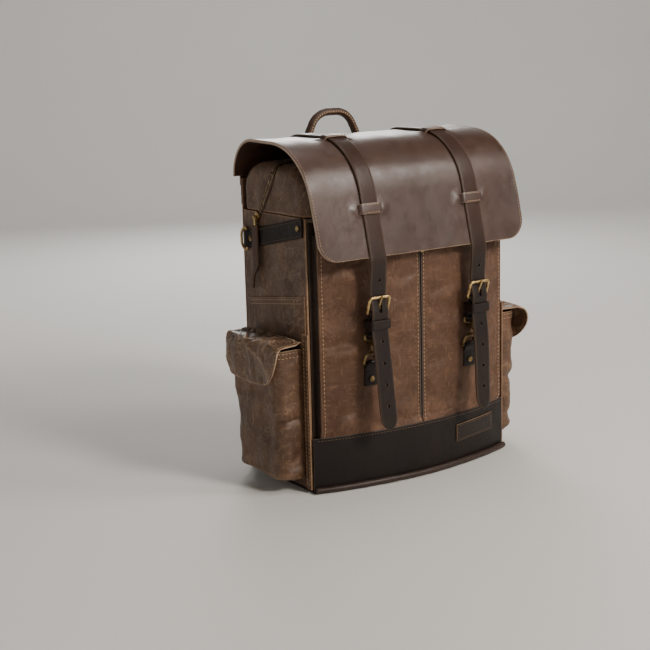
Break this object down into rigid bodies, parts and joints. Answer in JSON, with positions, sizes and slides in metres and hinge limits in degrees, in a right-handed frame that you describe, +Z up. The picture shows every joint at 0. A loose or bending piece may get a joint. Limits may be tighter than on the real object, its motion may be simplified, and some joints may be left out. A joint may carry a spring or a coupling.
{
  "type": "motorcycle saddlebag",
  "caption": "Upright waxed canvas and leather pannier bag with an arched lid, buckled straps on snap hooks, zipped front pocket, flapped side pockets and rack loops.",
  "frame": {"origin": "middle of the flat leather underside", "axes": "+Z up, the buckled front faces -Y, +X to the right seen from the front"},
  "size_m": [0.3666, 0.2118, 0.4182],
  "materials": {
    "waxed_canvas": "waxed, creased",
    "oiled_leather": "oiled pull-up, satin",
    "antique_brass": "aged, satin",
    "stiffener": "matt",
    "cotton_lining": "plain weave"
  },
  "bodies": {
    "bag": {"back_panel": "waxed_canvas", "back_stiffener": "stiffener", "base_board": "stiffener", "base_panel": "oiled_leather", "base_patch": "oiled_leather", "base_piping": "oiled_leather", "collar_back": "waxed_canvas", "collar_sides": "waxed_canvas", "flap_roots": "waxed_canvas", "front_base_band": "oiled_leather", "front_pocket_gusset": "waxed_canvas", "front_pocket_left": "waxed_canvas", "front_pocket_right": "waxed_canvas", "front_tabs": "oiled_leather", "front_wall": "waxed_canvas", "front_zip_teeth": "antique_brass", "lid_anchor_strip": "oiled_leather", "lining": "cotton_lining", "main_zip_back_row": "antique_brass", "main_zip_side_rows": "antique_brass", "pocket_snap_studs": "antique_brass", "rack_loops": "oiled_leather", "rivets": "antique_brass", "side_panel_left": "waxed_canvas", "side_panel_right": "waxed_canvas", "side_pocket_left": "waxed_canvas", "side_pocket_right": "waxed_canvas", "side_straps": "oiled_leather", "slip_pockets": "waxed_canvas"},
    "collar_front": {"collar_front": "waxed_canvas", "main_zip_front_row": "antique_brass"},
    "lid": {"lid": "oiled_leather", "lid_keepers_upper": "oiled_leather", "lid_keepers_front": "oiled_leather", "strap_left": "oiled_leather", "strap_right": "oiled_leather", "buckles": "antique_brass", "chapes": "oiled_leather", "strap_keepers": "oiled_leather", "snap_hooks": "antique_brass", "handle_tabs": "oiled_leather"},
    "grab_handle": {"grab_handle": "oiled_leather"},
    "buckle_prong_left": {"buckle_prong_left": "antique_brass"},
    "buckle_prong_right": {"buckle_prong_right": "antique_brass"},
    "hook_gate_left": {"hook_gate_left": "antique_brass"},
    "hook_gate_right": {"hook_gate_right": "antique_brass"},
    "front_ring_left": {"front_ring_left": "antique_brass"},
    "front_ring_right": {"front_ring_right": "antique_brass"},
    "side_ring_left": {"side_ring_left": "antique_brass"},
    "side_ring_right": {"side_ring_right": "antique_brass"},
    "front_zip_slider": {"front_zip_slider": "antique_brass"},
    "front_zip_pull": {"front_zip_pull": "antique_brass"},
    "main_zip_slider": {"main_zip_slider": "antique_brass"},
    "main_zip_pull": {"main_pull_ring": "antique_brass", "main_pull_tab": "oiled_leather"},
    "side_flap_left": {"side_flap_left": "waxed_canvas", "flap_snap_left": "antique_brass"},
    "side_flap_right": {"side_flap_right": "waxed_canvas", "flap_snap_right": "antique_brass"}
  },
  "joints": [
    {"name": "lid_hinge", "type": "hinge", "parent": "bag", "child": "lid", "pos_m": [0, 0.0719, 0.3458], "axis": [-1, 0, 0], "range_deg": [0, 100]},
    {"name": "collar_hinge", "type": "hinge", "parent": "bag", "child": "collar_front", "pos_m": [0, -0.0644, 0.31], "axis": [1, 0, 0], "range_deg": [0, 75]},
    {"name": "handle_swing", "type": "hinge", "parent": "lid", "child": "grab_handle", "pos_m": [0, 0.0815, 0.357], "axis": [-1, 0, 0], "range_deg": [-15, 75]},
    {"name": "main_zip_slide", "type": "slide", "parent": "bag", "child": "main_zip_slider", "axis": [0, -0.558, 0.8298], "range_m": [0, 0.042]},
    {"name": "main_pull_swing", "type": "hinge", "parent": "main_zip_slider", "child": "main_zip_pull", "pos_m": [-0.1445, 0.03165, 0.30298], "axis": [0, 1, 0], "range_deg": [0, 100]},
    {"name": "front_zip_slide", "type": "slide", "parent": "bag", "child": "front_zip_slider", "axis": [0, 0, -1], "range_m": [0, 0.195]},
    {"name": "front_pull_swing", "type": "hinge", "parent": "front_zip_slider", "child": "front_zip_pull", "pos_m": [0, -0.0897, 0.279], "axis": [-1, 0, 0], "range_deg": [0, 24]},
    {"name": "side_flap_left_hinge", "type": "hinge", "parent": "bag", "child": "side_flap_left", "pos_m": [-0.143, 0, 0.173], "axis": [0, 1, 0], "range_deg": [0, 85]},
    {"name": "side_ring_left_swing", "type": "hinge", "parent": "bag", "child": "side_ring_left", "pos_m": [-0.143, 0.0526, 0.2765], "axis": [0, 0, 1], "range_deg": [0, 80]},
    {"name": "buckle_prong_left_swing", "type": "hinge", "parent": "lid", "child": "buckle_prong_left", "pos_m": [-0.072, -0.0995, 0.203], "axis": [1, 0, 0], "range_deg": [0, 38]},
    {"name": "hook_gate_left_slide", "type": "slide", "parent": "lid", "child": "hook_gate_left", "axis": [0, 0, 1], "range_m": [0, 0.0035], "stiffness_N_per_m": 600, "springref_m": -0.0005},
    {"name": "front_ring_left_swing", "type": "hinge", "parent": "bag", "child": "front_ring_left", "pos_m": [-0.072, -0.0876, 0.144], "axis": [1, 0, 0], "range_deg": [-6, 6]},
    {"name": "side_flap_right_hinge", "type": "hinge", "parent": "bag", "child": "side_flap_right", "pos_m": [0.143, 0, 0.173], "axis": [0, -1, 0], "range_deg": [0, 85]},
    {"name": "side_ring_right_swing", "type": "hinge", "parent": "bag", "child": "side_ring_right", "pos_m": [0.143, 0.0526, 0.2765], "axis": [0, 0, -1], "range_deg": [0, 80]},
    {"name": "buckle_prong_right_swing", "type": "hinge", "parent": "lid", "child": "buckle_prong_right", "pos_m": [0.072, -0.0995, 0.203], "axis": [1, 0, 0], "range_deg": [0, 38]},
    {"name": "hook_gate_right_slide", "type": "slide", "parent": "lid", "child": "hook_gate_right", "axis": [0, 0, 1], "range_m": [0, 0.0035], "stiffness_N_per_m": 600, "springref_m": -0.0005},
    {"name": "front_ring_right_swing", "type": "hinge", "parent": "bag", "child": "front_ring_right", "pos_m": [0.072, -0.0876, 0.144], "axis": [1, 0, 0], "range_deg": [-6, 6]}
  ],
  "couplings": [
    {"joint": "collar_hinge", "follows": "lid_hinge", "ratio": 0.75}
  ]
}
